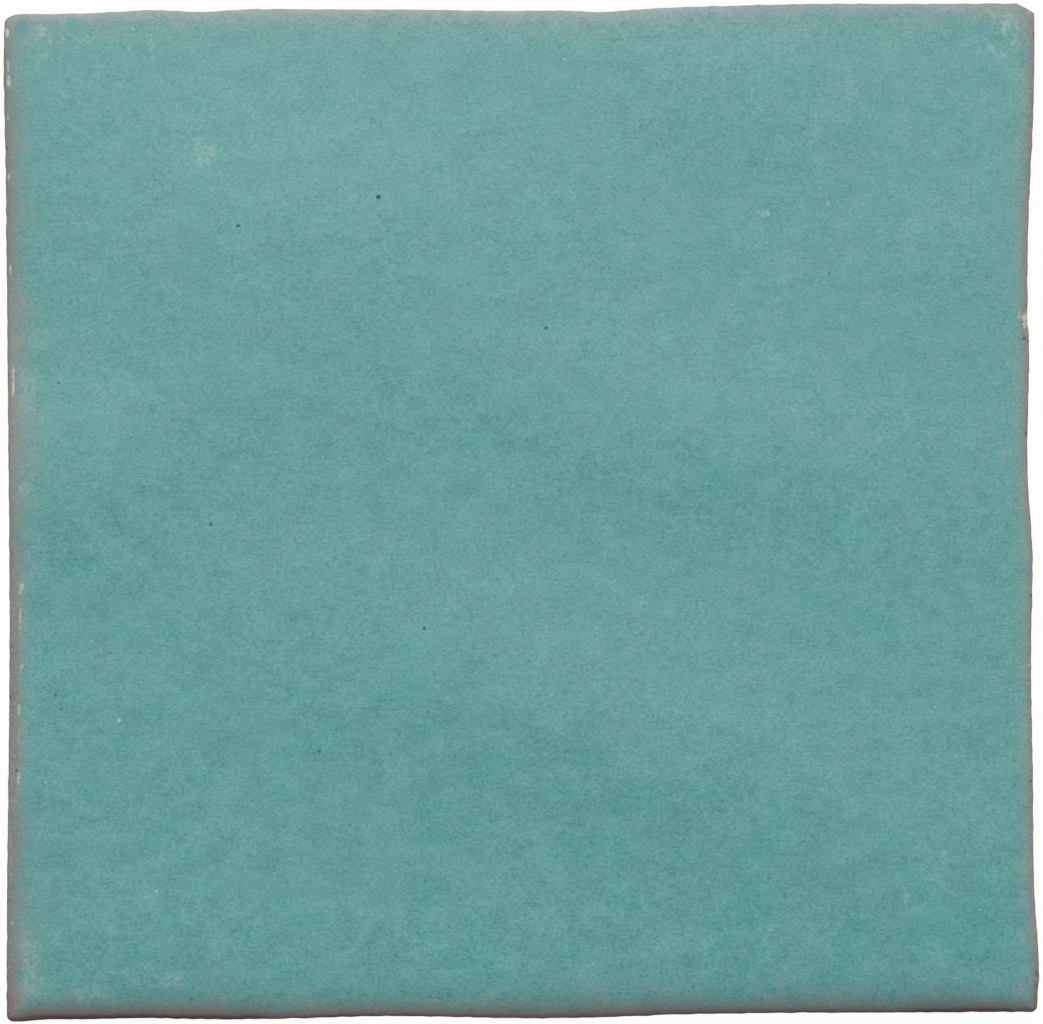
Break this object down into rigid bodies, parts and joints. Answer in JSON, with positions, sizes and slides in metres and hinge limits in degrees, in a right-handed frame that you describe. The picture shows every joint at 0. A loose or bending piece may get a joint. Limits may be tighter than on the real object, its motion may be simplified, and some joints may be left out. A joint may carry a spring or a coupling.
{
  "type": "zellige tile",
  "caption": "Square hand-cut wall tile of fired clay with a rolling sea-green glazed face, rounded arrises, wavy sides that lean in and a flat back for bedding in mortar.",
  "frame": {"origin": "on the floor, under the middle of the tile's outline, in the plane of its back", "axes": "+Z out of the glazed face, +Y towards the top side of the tile as the picture shows it, +X to its right side"},
  "size_m": [0.1014, 0.0998, 0.0115],
  "materials": {
    "glazed_clay": "satin sea-green glaze over the face, thinning to bare pinkish-brown fired clay at the arrises, sides and back"
  },
  "bodies": {
    "root": {"zellige_tile": "glazed_clay"}
  },
  "joints": []
}
